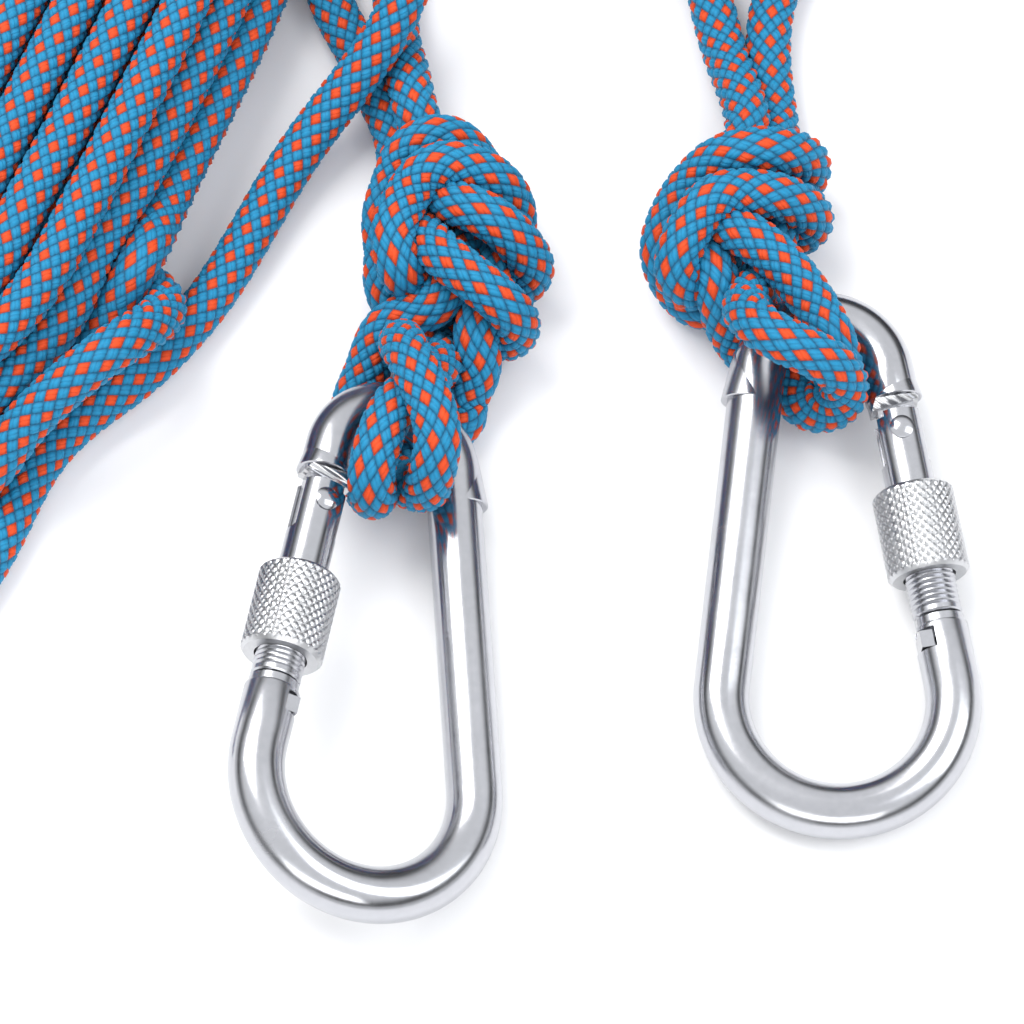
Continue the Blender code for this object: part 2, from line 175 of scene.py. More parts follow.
def steel_material(name, base, rough, bump_strength=0.05, scale=600.0):
    m, nt, b = principled(name)
    geo = nt.nodes.new("ShaderNodeTexCoord")
    big = node(nt, "ShaderNodeTexNoise", Scale=60.0, Detail=4.0, Roughness=0.6)
    small = node(nt, "ShaderNodeTexNoise", Scale=scale, Detail=3.0, Roughness=0.6)
    nt.links.new(geo.outputs["Object"], big.inputs["Vector"])
    nt.links.new(geo.outputs["Object"], small.inputs["Vector"])
    ramp = nt.nodes.new("ShaderNodeMapRange")
    ramp.inputs["From Min"].default_value = 0.3
    ramp.inputs["From Max"].default_value = 0.7
    ramp.inputs["To Min"].default_value = rough * 0.7
    ramp.inputs["To Max"].default_value = rough * 1.4
    nt.links.new(big.outputs[0], ramp.inputs["Value"])
    nt.links.new(ramp.outputs[0], b.inputs["Roughness"])
    mix = nt.nodes.new("ShaderNodeMix")
    mix.data_type = "RGBA"
    mix.inputs["A"].default_value = (*base, 1)
    mix.inputs["B"].default_value = (*[c * 0.86 for c in base], 1)
    nt.links.new(small.outputs[0], mix.inputs["Factor"])
    nt.links.new(mix.outputs["Result"], b.inputs["Base Color"])
    bump = nt.nodes.new("ShaderNodeBump")
    bump.inputs["Strength"].default_value = bump_strength
    bump.inputs["Distance"].default_value = 0.0002
    nt.links.new(small.outputs[0], bump.inputs["Height"])
    nt.links.new(bump.outputs[0], b.inputs["Normal"])
    b.inputs["Metallic"].default_value = 1.0
    return m


STEEL = steel_material("plated_steel", (0.52, 0.525, 0.555), 0.20)
MILLED = steel_material("milled_steel", (0.62, 0.625, 0.64), 0.26)
marks = MILLED.node_tree.nodes.new("ShaderNodeTexWave")
marks.wave_type, marks.bands_direction = "BANDS", "DIAGONAL"
marks.inputs["Scale"].default_value = 260.0
marks.inputs["Distortion"].default_value = 0.6
place = MILLED.node_tree.nodes.new("ShaderNodeTexCoord")
MILLED.node_tree.links.new(place.outputs["Object"], marks.inputs["Vector"])
for n in MILLED.node_tree.nodes:
    if n.bl_idname == "ShaderNodeBump":
        n.inputs["Strength"].default_value = 0.7
        MILLED.node_tree.links.new(marks.outputs["Fac"], n.inputs["Height"])
MATTE = steel_material("knurled_steel_look", (0.60, 0.605, 0.62), 0.34, 0.12)
WIRE = steel_material("spring_wire", (0.6, 0.61, 0.63), 0.3)


def plain_material(name, base, rough, spread, bump_strength, scale, ribs=0.0):
    m, nt, b = principled(name)
    geo = nt.nodes.new("ShaderNodeTexCoord")
    noise = node(nt, "ShaderNodeTexNoise", Scale=scale, Detail=4.0, Roughness=0.6)
    nt.links.new(geo.outputs["Object"], noise.inputs["Vector"])
    mix = nt.nodes.new("ShaderNodeMix")
    mix.data_type = "RGBA"
    mix.inputs["A"].default_value = (*[c * (1 - spread) for c in base], 1)
    mix.inputs["B"].default_value = (*[min(1, c * (1 + spread)) for c in base], 1)
    nt.links.new(noise.outputs[0], mix.inputs["Factor"])
    nt.links.new(mix.outputs["Result"], b.inputs["Base Color"])
    height = noise.outputs[0]
    if ribs:
        sep = nt.nodes.new("ShaderNodeSeparateXYZ")
        nt.links.new(geo.outputs["Object"], sep.inputs[0])
        wave = math_node(nt, "SINE", math_node(nt, "MULTIPLY", sep.outputs[0], ribs))
        wave = math_node(nt, "MAXIMUM", wave, 0.55)
        height = math_node(nt, "ADD", math_node(nt, "MULTIPLY", noise.outputs[0], 0.12), wave)
    bump = nt.nodes.new("ShaderNodeBump")
    bump.inputs["Strength"].default_value = bump_strength
    bump.inputs["Distance"].default_value = 0.0008
    nt.links.new(height, bump.inputs["Height"])
    nt.links.new(bump.outputs[0], b.inputs["Normal"])
    b.inputs["Roughness"].default_value = rough
    return m


RUNG = plain_material("rung_look", (0.045, 0.047, 0.05), 0.45, 0.12, 0.6, 900.0, ribs=2 * math.pi / 0.006)
RUBBER = plain_material("rubber_look", (0.72, 0.13, 0.02), 0.6, 0.1, 0.3, 700.0)

# ------------------------------------------------------------------ rope paths


def curve(points, step):
    """Points every step along a smooth curve through the given ones."""
    p = np.asarray([np.asarray(q, float) for q in points])
    p = np.vstack([2 * p[0] - p[1], p, 2 * p[-1] - p[-2]])
    t = np.linspace(0, 1, 17)[:-1, None]
    dense = []
    for a, b, c, d in zip(p, p[1:], p[2:], p[3:]):
        # centripetal form keeps unevenly spaced points from looping
        ka = max(np.linalg.norm(b - a), 1e-6) ** 0.5
        kb = max(np.linalg.norm(c - b), 1e-6) ** 0.5
        kc = max(np.linalg.norm(d - c), 1e-6) ** 0.5
        m1 = kb * ((b - a) / ka - (c - a) / (ka + kb) + (c - b) / kb)
        m2 = kb * ((c - b) / kb - (d - b) / (kb + kc) + (d - c) / kc)
        dense.append((2 * t ** 3 - 3 * t ** 2 + 1) * b + (t ** 3 - 2 * t ** 2 + t) * m1 + (-2 * t ** 3 + 3 * t ** 2) * c + (t ** 3 - t ** 2) * m2)
    dense = np.vstack(dense + [p[-2][None]])
    return even(dense, step)


def even(dense, step):
    s = np.concatenate([[0], np.cumsum(np.linalg.norm(np.diff(dense, axis=0), axis=1))])
    n = max(3, int(round(s[-1] / step)))
    want = np.linspace(0, s[-1], n + 1)
    return np.stack([np.interp(want, s, dense[:, k]) for k in range(3)], 1)


def relax(ropes, step, rounds, hold, bend, bars=(), bar_r=5.0, close=0.96, ends=2):
    """Ropes pushed apart until they only touch, keeping their length and lay."""
    X = np.vstack(ropes)
    rid = np.concatenate([np.full(len(r), i) for i, r in enumerate(ropes)])
    X0 = X.copy()
    n = len(X)
    first = np.concatenate([[0], np.cumsum([len(r) for r in ropes])])
    link = np.array([i for i in range(n - 1) if rid[i] == rid[i + 1]])
    L = np.linalg.norm(X[link + 1] - X[link], axis=1)
    inner = np.array([i for i in range(1, n - 1) if rid[i - 1] == rid[i + 1]])
    fixed = np.zeros(n, bool)
    for a, b in zip(first[:-1], first[1:]):
        fixed[a:a + ends] = True
        fixed[b - ends:b] = True
    gap = int(math.ceil(1.55 * D / step))
    d = D * close
    bars = [np.asarray(b, float) for b in bars]
    I = J = None

    def spread(idx, val):
        return np.stack([np.bincount(idx, weights=val[:, k], minlength=n) for k in range(3)], 1)

    for it in range(rounds):
        if it % 5 == 0:
            sq = (X ** 2).sum(1)
            near = sq[:, None] + sq[None, :] - 2 * X @ X.T
            I, J = np.nonzero(near < (d * 1.3) ** 2)
            ok = (J > I) & ((rid[I] != rid[J]) | (J - I > gap))
            I, J = I[ok], J[ok]
        for inner_pass in range(2):
            e = X[link + 1] - X[link]
            l = np.linalg.norm(e, axis=1)
            c = e * (0.45 * (l - L) / np.maximum(l, 1e-6))[:, None]
            X = X + spread(link, c) - spread(link + 1, c)
            if len(I):
                v = X[J] - X[I]
                dist = np.maximum(np.linalg.norm(v, axis=1), 1e-4)
                pen = np.maximum(d - dist, 0)
                c = v * (0.5 * pen / dist)[:, None]
                cnt = np.bincount(np.concatenate([I[pen > 0], J[pen > 0]]), minlength=n)
                X = X + (spread(J, c) - spread(I, c)) / np.maximum(cnt, 1)[:, None] ** 0.6
        for bar in bars:
            # nearest point of the bar's line
            near = ((X ** 2).sum(1)[:, None] + (bar ** 2).sum(1)[None, :] - 2 * X @ bar.T)
            k = near.argmin(1)
            v = X - bar[k]
            dist = np.maximum(np.linalg.norm(v, axis=1), 1e-4)
            pen = np.clip(bar_r + R * 0.97 - dist, 0, 1.2)
            X = X + v * (pen / dist)[:, None]
        fade = 1.0 if it < rounds * 0.6 else 0.4
        X[inner] += bend * fade * (0.5 * (X[inner - 1] + X[inner + 1]) - X[inner])
        X += hold * fade * (X0 - X)
        X[fixed] = X0[fixed]
        X[:, 2] = np.maximum(X[:, 2], R)
    return [X[a:b] for a, b in zip(first[:-1], first[1:])]


def smooth(p, times=2):
    p = p.copy()
    for _ in range(times):
        p[1:-1] = 0.25 * p[:-2] + 0.5 * p[1:-1] + 0.25 * p[2:]
    return p


# ------------------------------------------------------------- braided surface
CARRIERS = 10
ROW = 0.184 * D


def braid(name, path, sub, cap=True):
    """A one-over-one braid of round yarns along a path, every other left-handed yarn orange."""
    path = curve(path, 0.6)
    seg = np.linalg.norm(np.diff(path, axis=0), axis=1)
    s = np.concatenate([[0], np.cumsum(seg)])
    T = np.gradient(path, s, axis=0)
    T /= np.linalg.norm(T, axis=1)[:, None]
    N = np.zeros_like(T)
    u = np.array([0.0, 0.0, 1.0]) if abs(T[0, 2]) < 0.9 else np.array([1.0, 0, 0])
    u = u - T[0] * (u @ T[0])
    N[0] = u / np.linalg.norm(u)
    for i in range(1, len(T)):
        u = N[i - 1] - T[i] * (N[i - 1] @ T[i])
        N[i] = u / np.linalg.norm(u)
    B = np.cross(T, N)
    length = s[-1]
    rows = int(math.floor(length / ROW))
    nn, mm = np.meshgrid(np.arange(1, rows), np.arange(2 * CARRIERS), indexing="ij")
    good = (nn + mm) % 2 == 0
    nn, mm = nn[good], mm[good]
    i, j = (mm - nn) // 2, (mm + nn) // 2
    s_top = (mm % 2) == 0
    orange = s_top & (i % 2 == 1)
    g = np.linspace(-0.5, 0.5, sub + 1)
    ga, gb = np.meshgrid(g, g, indexing="ij")
    ga, gb = ga.ravel(), gb.ravel()
    a = i[:, None] + ga[None, :]
    b = j[:, None] + gb[None, :]
    theta = (a + b) * math.pi / CARRIERS
    z = np.clip((b - a) * ROW, 0.0, length)
    across = np.where(s_top[:, None], ga[None, :], gb[None, :])
    along = np.where(s_top[:, None], gb[None, :], ga[None, :])
    swell = np.clip(1 - (2 * np.abs(across)) ** 2.6 - (2 * np.abs(along)) ** 3.2, 0, 1) ** 0.6
    if sub >= 4:
        swell *= 1 - 0.22 * np.exp(-((across / 0.09) ** 2))
    rad = R * (0.872 + 0.128 * swell)
    zf, tf, rf = z.ravel(), theta.ravel(), rad.ravel()
    C = np.stack([np.interp(zf, s, path[:, k]) for k in range(3)], 1)
    Nn = np.stack([np.interp(zf, s, N[:, k]) for k in range(3)], 1)
    Bb = np.stack([np.interp(zf, s, B[:, k]) for k in range(3)], 1)
    V = C + (Nn * np.cos(tf)[:, None] + Bb * np.sin(tf)[:, None]) * rf[:, None]
    cells = len(i)
    per = (sub + 1) ** 2
    p, q = np.meshgrid(np.arange(sub), np.arange(sub), indexing="ij")
    p, q = p.ravel(), q.ravel()
    quad = np.stack([p * (sub + 1) + q, (p + 1) * (sub + 1) + q, (p + 1) * (sub + 1) + q + 1, p * (sub + 1) + q + 1], 1)
    F = (quad[None] + (np.arange(cells) * per)[:, None, None]).reshape(-1, 4)
    uva, uvb = (across + 0.5).ravel(), (along + 0.5).ravel()
    mat = np.repeat(orange.astype(np.int32), sub * sub)
    # direction of the faces: theta grows with both indices, z with b
    me = bpy.data.meshes.new(name)
    V = world(V)
    nv, nf = len(V), len(F)
    extra_v, extra_f = [], []
    if cap:
        for k, end in ((0, ROW * 1.0), (-1, (rows - 1) * ROW)):
            c = np.array([np.interp(end, s, path[:, x]) for x in range(3)])
            nn_, bb_ = N[k], B[k]
            base = nv + len(extra_v)
            ring = [world(c + (nn_ * math.cos(t) + bb_ * math.sin(t)) * R * 0.93) for t in np.linspace(0, 2 * math.pi, 17)[:-1]]
            extra_v += [world(c)] + ring
            for x in range(16):
                tri = [base, base + 1 + x, base + 1 + (x + 1) % 16]
                extra_f.append(tri if k == -1 else tri[::-1])
    if extra_v:
        V = np.vstack([V, np.array(extra_v)])
    me.vertices.add(len(V))
    me.vertices.foreach_set("co", V.astype(np.float32).ravel())
    loops = F.size + 3 * len(extra_f)
    me.loops.add(loops)
    me.polygons.add(nf + len(extra_f))
    idx = np.concatenate([F.ravel(), np.array(extra_f, int).ravel()]) if extra_f else F.ravel()
    me.loops.foreach_set("vertex_index", idx.astype(np.int32))
    starts = np.concatenate([np.arange(nf) * 4, nf * 4 + np.arange(len(extra_f)) * 3])
    me.polygons.foreach_set("loop_start", starts.astype(np.int32))
    me.polygons.foreach_set("material_index", np.concatenate([mat, np.zeros(len(extra_f), np.int32)]).astype(np.int32))
    layer = me.uv_layers.new(name="yarn")
    uv = np.zeros((loops, 2), np.float32)
    uv[:F.size, 0] = uva[F.ravel()]
    uv[:F.size, 1] = uvb[F.ravel()]
    layer.data.foreach_set("uv", uv.ravel())
    me.update(calc_edges=True)
    me.validate()
    me.materials.append(BLUE)
    me.materials.append(ORANGE)
    me.shade_smooth()
    # the faces of both lattice halves have the same winding; make them face out
    mid = me.polygons[len(F) // 2]
    v0 = np.array(me.vertices[mid.vertices[0]].co)
    k = int(np.argmin(((world(path) - v0) ** 2).sum(1)))
    if (np.array(mid.normal) @ (v0 - world(path)[k])) < 0:
        me.flip_normals()
    o = bpy.data.objects.new(name, me)
    bpy.context.scene.collection.objects.link(o)
    return o, path, length


def rope(name, path, sub, replaces=()):
    o, line, length = braid(name, path, sub)
    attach(o, "root")
    if replaces:
        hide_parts(*replaces)
    keep = line[::3] if len(line) % 3 == 1 else np.vstack([line[::3], line[-1:]])
    keep = world(keep)
    return o


# ------------------------------------------------------------- hooks' geometry
HOOK_WIRE, HOOK_R_TOP, HOOK_R_BOTTOM, HOOK_CENTRES = 10.0, 11.8, 20.6, 61.0
SHOULDER_S, PIN_S, TONGUE_END_S = 6.3, 12.9, 17.3
GATE_S, GATE_R = (8.6, 48.0), 4.5
SLEEVE_S, SLEEVE_R, SLEEVE_BORE_R = (24.0, 40.5), 7.4, 4.8
NOSE_S, NOSE_NECK_S = 48.3, 51.6
BETA = math.asin((HOOK_R_BOTTOM - HOOK_R_TOP) / HOOK_CENTRES)
LEG = Vector((math.sin(BETA), -math.cos(BETA), 0.0))
LEG_OUT = Vector((math.cos(BETA), math.sin(BETA), 0.0))
LEG_START = LEG_OUT * HOOK_R_TOP
LEG_LENGTH = HOOK_CENTRES * math.cos(BETA)


def on_leg(s, out=0.0, z=0.0):
    return LEG_START + LEG * s + LEG_OUT * out + Vector((0, 0, z))


def bar_path(arc_top, arc_bottom):
    pts, rad = [], []
    r = HOOK_WIRE / 2
    for s, rr in ((NOSE_S, 4.25), (NOSE_S + 0.2, 4.55), (NOSE_S + 1.5, 4.6), (NOSE_S + 1.65, 4.85), (NOSE_S + 2.0, r), (LEG_LENGTH - 1.5, r)):
        pts.append(on_leg(s))
        rad.append(rr)
    for k in range(arc_bottom + 1):
        a = BETA - (math.pi + 2 * BETA) * k / arc_bottom
        pts.append(Vector((math.cos(a) * HOOK_R_BOTTOM, math.sin(a) * HOOK_R_BOTTOM - HOOK_CENTRES, 0)))
        rad.append(r)
    back = math.pi - BETA
    lo, hi = pts[-1], Vector((math.cos(back) * HOOK_R_TOP, math.sin(back) * HOOK_R_TOP, 0))
    for f in (0.02, 0.5, 0.97):
        pts.append(lo.lerp(hi, f))
        rad.append(r)
    for k in range(arc_top + 1):
        a = back - (math.pi - 2 * BETA) * k / arc_top
        pts.append(Vector((math.cos(a) * HOOK_R_TOP, math.sin(a) * HOOK_R_TOP, 0)))
        rad.append(r)
    pts.append(on_leg(SHOULDER_S - 0.3))
    rad.append(r)
    pts.append(on_leg(SHOULDER_S))
    rad.append(r - 0.1)
    return pts, rad


def hook_pose(x, y, up, roll_deg, gate_right):
    ey = Vector(up).normalized()
    side = ey.cross(Vector((0, 0, 1))).normalized()
    lift = side.cross(ey)
    c, s = math.cos(math.radians(roll_deg)), math.sin(math.radians(roll_deg))
    right = side * c + lift * s
    ex = right if gate_right else -right
    ez = ex.cross(ey)
    turn = Matrix((ex, ey, ez)).transposed()
    low = min((turn @ p).z for p in bar_line(14, 18)) - HOOK_WIRE / 2
    return Matrix.Translation(Vector((x, y, -low))) @ turn.to_4x4()


def bar_line(arc_top, arc_bottom):
    """Centreline of the bar alone, from the hinge end of the narrow arc to the nose."""
    pts = []
    for k in range(arc_bottom + 1):
        a = BETA - (math.pi + 2 * BETA) * k / arc_bottom
        pts.append(Vector((math.cos(a) * HOOK_R_BOTTOM, math.sin(a) * HOOK_R_BOTTOM - HOOK_CENTRES, 0)))
    for k in range(arc_top + 1):
        a = math.pi - BETA - (math.pi - 2 * BETA) * k / arc_top
        pts.append(Vector((math.cos(a) * HOOK_R_TOP, math.sin(a) * HOOK_R_TOP, 0)))
    return pts


HOOKS = {
    "right": (hook_pose(56.4, 21.5, (-0.0217, 0.9974, 0.0692), 0.0, True), 0.0),
    "left": (hook_pose(-21.5, 3.2, (0.0645, 0.9969, -0.0300), -23.7, False), 3.0),
}


def bar_obstacle(side):
    m = HOOKS[side][0]
    pts = []
    for k in range(61):
        a = math.pi - BETA - (math.pi - 2 * BETA) * k / 60
        pts.append(m @ Vector((math.cos(a) * HOOK_R_TOP, math.sin(a) * HOOK_R_TOP, 0)))
    for k in range(1, 40):
        pts.append(m @ on_leg(k * 0.8))
        o = on_leg(k * 0.8)
        pts.append(m @ Vector((-o.x, o.y, 0)))
    return np.array([list(p) for p in pts])


# --------------------------------------------------------------- rails, tied in
LEFT_MOUTH_A = [(9.0, 155.5, 11.5), (-2.2, 155.5, 10.5), (-15.0, 152.0, 8.5), (-27.0, 140.0, 5.5), (-33.5, 127.0, 4.8), (-36.2, 115.0, 4.6)]
LEFT_MOUTH_B = [(9.0, 151.5, 19.5), (-2.6, 151.2, 21.0), (-9.0, 149.6, 20.5), (-13.5, 140.5, 18.0), (-18.5, 129.0, 11.5), (-22.0, 116.0, 6.0)]
left_rail = LEFT_MOUTH_A + [at(*q) for q in (
    (330, 0, 4.6), (358, 52, 4.6), (384, 100, 4.8), (397, 140, 4.8), (404, 178, 6), (411, 212, 11), (420, 236, 17),
    (446, 258, 22), (480, 284, 22.5), (507, 306, 20), (519, 326, 13), (508, 341, 6.5), (480, 332, 4.6), (447, 320, 4.6), (418, 310, 6.5),
    (402, 290, 10), (400, 262, 13), (395, 225, 13.5), (396, 195, 13.5), (408, 163, 13.8), (428, 143, 14.5), (450, 141, 14.5), (468, 151, 13.5),
    (482, 168, 10.5), (490, 192, 8), (484, 222, 9), (468, 252, 11.5), (443, 280, 13.5),
    (419, 305, 13.5), (402, 332, 11.5), (378, 362, 8), (358, 388, 6), (352, 414, 6), (353, 442, 6.5), (360, 474, 8),
    (375, 498, 13.5), (370, 484, 21.5), (376, 448, 25), (389, 414, 25), (403, 394, 23), (420, 378, 19), (434, 362, 12), (430, 348, 6.5),
    (414, 338, 6.5), (403, 338, 14), (405, 350, 23), (413, 368, 28), (426, 392, 29.3), (437, 420, 29), (438, 448, 27),
    (432, 472, 23), (428, 491, 15.5), (436, 488, 8), (447, 464, 4.8), (457, 432, 4.6), (465, 400, 5.5), (469, 372, 9.5), (472, 340, 13),
    (485, 305, 12.5), (500, 272, 10), (508, 240, 9), (513, 212, 12), (506, 190, 17), (485, 172, 21), (455, 167, 22), (425, 175, 21.5),
    (405, 200, 21), (399, 232, 21), (401, 264, 19.5), (407, 294, 13), (428, 296, 6.5), (458, 290, 4.6), (490, 286, 4.8), (518, 278, 7.5),
    (523, 258, 14), (514, 236, 20), (490, 216, 22.5), (464, 205, 22), (440, 194, 18), (430, 165, 13.5), (424, 138, 12.5), (414, 106, 11),
    (400, 56, 6), (395, 0, 4.8))] + LEFT_MOUTH_B[::-1]

RIGHT_MOUTH_A = [(230.0, 156.0, 11.5), (242.2, 156.0, 11.5), (252.5, 155.0, 11.0), (255.5, 146.5, 9.0), (246.0, 137.0, 5.5), (222.0, 134.2, 4.6), (150.0, 134.5, 4.6), (75.0, 134.8, 4.6), (46.0, 131.5, 4.6), (36.5, 118.0, 4.6)]
RIGHT_MOUTH_B = [(230.0, 156.5, 20.5), (242.2, 156.5, 21.0), (257.0, 153.0, 20.5), (260.5, 139.0, 15.0), (250.0, 127.0, 7.5), (228.0, 124.6, 4.8), (150.0, 124.9, 4.6), (74.0, 124.8, 4.6), (56.0, 117.0, 4.6)]
right_rail = RIGHT_MOUTH_A + [at(*q) for q in (
    (711, 0, 4.6), (725, 54, 5), (742, 98, 10), (749, 130, 12.8), (746, 165, 12.8), (739, 200, 12.6), (727, 235, 12), (712, 264, 9.5),
    (702, 284, 9.5), (690, 290, 12), (682, 268, 17), (688, 240, 20.5), (704, 213, 21.5), (738, 195, 22), (770, 193, 22), (797, 204, 18),
    (808, 222, 11), (795, 237, 5.8), (765, 241, 4.6), (735, 238, 4.8), (716, 232, 10), (722, 226, 17), (743, 232, 21.5), (766, 248, 22),
    (790, 271, 22), (808, 294, 21.5), (822, 318, 21), (834, 342, 21), (840, 366, 16), (834, 384, 9.5), (820, 376, 5), (803, 354, 4.5),
    (784, 328, 4.5), (765, 306, 4.6), (748, 297, 9), (744, 303, 18), (750, 318, 26), (768, 332, 29.5), (793, 345, 30), (818, 356, 29),
    (838, 369, 25.5), (846, 384, 18.5), (838, 399, 12), (822, 406, 8), (806, 404, 5.5), (789, 390, 4.6), (766, 370, 4.5), (746, 349, 5),
    (732, 325, 8), (722, 296, 13), (711, 270, 15.5), (699, 255, 12), (698, 241, 6), (714, 224, 4.6), (742, 211, 4.6), (772, 201, 4.8),
    (798, 186, 5.6), (806, 168, 10.5), (796, 154, 17), (772, 149, 21), (745, 150, 21.5), (720, 157, 20), (699, 175, 17), (689, 201, 14.2),
    (686, 230, 12.8), (687, 260, 11), (692, 289, 8), (698, 306, 5.5), (722, 300, 5.5), (742, 272, 10), (757, 240, 12.6), (768, 205, 12.6),
    (775, 165, 11), (777, 132, 6), (772, 98, 4.8), (768, 54, 4.6), (774, 0, 4.6))] + RIGHT_MOUTH_B[::-1]

# the left rail's free end, lying along the hank, and the turn that holds the hank
left_free = [(9.0, 155.5, 52.5), (-2.2, 156.0, 52.0), (-10.0, 152.0, 51.0), (-14.0, 138.0, 45.0), (-14.0, 119.0, 35.0)] + [at(*q) for q in (
    (405, 0, 20), (370, 60, 14.2), (330, 110, 9), (290, 165, 6), (250, 235, 4.8), (210, 300, 4.6), (140, 375, 4.6), (75, 420, 4.6), (35, 465, 4.6), (0, 540, 4.6), (-45, 610, 4.6), (-100, 660, 4.6))]
left_turn = [at(*q) for q in ((60, 268, 4.6), (95, 280, 4.6), (128, 283, 6), (156, 292, 9.5), (166, 310, 15), (148, 328, 22), (118, 342, 27.5), (84, 368, 27.5), (44, 400, 24), (4, 428, 19), (-30, 452, 12.5), (-62, 470, 6), (-95, 470, 4.6))]

# ---------------------------------------------------------------------- hanks
LEFT_MOUTHS = {k + 1: (156.0 + 32.3 * (k if k < 3 else 5 - k), 16.0 + 32.3 * (k // 3)) for k in range(6)}
SPACING = 9.35


def bundle_at(line, t, lateral, z):
    """A point of the bundle: t along its centreline (0 to 1), lateral to its right."""
    s = np.concatenate([[0], np.cumsum(np.linalg.norm(np.diff(line, axis=0), axis=1))])
    w = t * s[-1]
    p = np.array([np.interp(w, s, line[:, k]) for k in range(2)])
    q = np.array([np.interp(min(w + 2, s[-1]), s, line[:, k]) for k in range(2)])
    o = np.array([np.interp(max(w - 2, 0), s, line[:, k]) for k in range(2)])
    d = (q - o) / np.linalg.norm(q - o)
    n = np.array([-d[1], d[0]])
    x = p + n * lateral
    return np.array([x[0], x[1], z]), np.array([d[0], d[1], 0]), np.array([n[0], n[1], 0])


def bight(line, a, b, rung_a, rung_b, mouth_x, out, used, last, aside=0.0):
    """From one rung's mouth along the hank, round its end and back to the next rung's mouth."""
    def lead(rung, lat, z):
        y, zc = LEFT_MOUTHS[rung]
        k = used.setdefault(rung, 0)
        used[rung] += 1
        oy, oz = ((-4.4, -4.4), (4.4, -4.4), (-4.4, 4.4), (4.4, 4.4), (0, 0))[k % 5] if rung not in (1, 6) else ((4.4, 4.4), (4.4, -4.4), (-4.4, -4.4))[k % 3]
        top, _, _ = bundle_at(line, 0.0, lat, z)
        inside = (mouth_x - out * 11, y + oy, zc + oz)
        mouth = (mouth_x + out * 1.5, y + oy, zc + oz)
        away = (mouth_x + out * 17, y + oy * 1.2, zc + oz)
        mid = 0.5 * (np.array(away) + top) + np.array([out * 8.0, (y - top[1]) * 0.12, 2.0])
        return [inside, mouth, away, mid]
    (ra, la), (rb, lb) = a, b
    za, zb = [R + 0.15 + 7.75 * r for r in (ra, rb)]
    la, lb = la * SPACING + aside, lb * SPACING + aside
    half = (lb - la) / 2
    reach = max(min(abs(half), 15.0), 6.0)
    last -= max(0.0, reach - 8.0) / np.linalg.norm(np.diff(line, axis=0), axis=1).sum()
    pts = lead(rung_a, la, za)
    ts = np.linspace(0, last, 9)
    pts += [bundle_at(line, t, la, za)[0] for t in ts]
    c, d, n = bundle_at(line, last, (la + lb) / 2, (za + zb) / 2)
    for f in np.linspace(0, math.pi, 7)[1:-1]:
        pts.append(c - n * half * math.cos(f) + d * reach * math.sin(f) + np.array([0, 0, (za - zb) / 2 * math.cos(f)]))
    pts += [bundle_at(line, t, lb, zb)[0] for t in ts[::-1]]
    pts += lead(rung_b, lb, zb)[::-1]
    return pts


left_line = np.array([(-52.5, 132.0), (-59.0, 110.0), (-66.1, 90.7), (-77.0, 64.5), (-88.2, 37.5), (-97.0, 24.0), (-107.0, 14.0)])
left_line = curve([(x, y, 0) for x, y in left_line], 2.0)[:, :2]
# lateral places are counted from the strand that lies third on top
PAIRS = (
    ((0, -4.5), (0, 0.5), 2, 1), ((0, -3.5), (0, -0.5), 2, 1), ((0, -2.5), (0, -1.5), 3, 2), ((1, -3), (1, 1), 3, 2), ((1, -2), (1, 0), 3, 4),
    ((2, -0.5), (1, -1), 4, 3), ((2, -3.5), (2, 0.5), 4, 5), ((2, -2.5), (2, -1.5), 4, 5), ((3, -3), (3, 0), 5, 6), ((3, -2), (3, -1), 5, 6),
)
used = {1: 0, 6: 1}
left_bights = [bight(left_line, a, b, ra, rb, 0.0, -1.0, used, 0.97 - 0.012 * (i % 3), 5.8) for i, (a, b, ra, rb) in enumerate(PAIRS)]

right_line = curve([(x, y, 0) for x, y in ((283.0, 148.0), (286.0, 122.0), (285.0, 90.0), (285.0, 62.0))], 2.0)[:, :2]
RIGHT_PAIRS = (
    ((0, 2), (0, -2), 2, 1), ((0, 1), (0, -1), 2, 1), ((1, 2), (1, -2), 3, 2), ((1, 1), (1, -1), 3, 2), ((0, 0), (1, 0), 3, 4),
    ((2, 0), (3, 0), 3, 4), ((2, 2), (2, -2), 4, 5), ((2, 1), (2, -1), 4, 5), ((3, 2), (3, -2), 5, 6), ((3, 1), (3, -1), 5, 6),
)
used = {1: 0, 6: 1}
right_bights = [bight(right_line, a, b, ra, rb, 240.0, 1.0, used, 1.0) for a, b, ra, rb in RIGHT_PAIRS]


def stopper():
    """A simple overhand knot at the last rung's right-hand mouth."""
    pts = [(229.0, 156.0, 53.0), (241.5, 156.0, 53.0)]
    for k in range(15):
        t = -2.55 + 5.1 * k / 14
        pts.append((253.5 - 5.4 * (t ** 3 / 3.2 - 1.9 * t) * 0.52, 156.0 + 1.25 * (t ** 4 / 4.0 - 1.5 * t ** 2) * 1.9, 54.9 + 4.0 * math.sin(t * 1.75)))
    pts += [(267.5, 160.0, 55.0), (272.0, 166.0, 55.0)]
    return pts


STEP = 2.2
knots = relax([curve(left_rail, STEP)], STEP, 240, 0.13, 0.08, [bar_obstacle("left")], close=0.84)
knots += relax([curve(right_rail, STEP)], STEP, 240, 0.24, 0.08, [bar_obstacle("right")], close=0.80)
HSTEP = 4.4
laid = [curve(p, HSTEP) for p in left_bights + [left_free, left_turn]]
laid = relax(laid, HSTEP, 160, 0.05, 0.08)
laid_right = relax([curve(p, HSTEP) for p in right_bights], HSTEP, 160, 0.04, 0.08)
sub_near, sub_mid, sub_far = ((4, 3, 2))

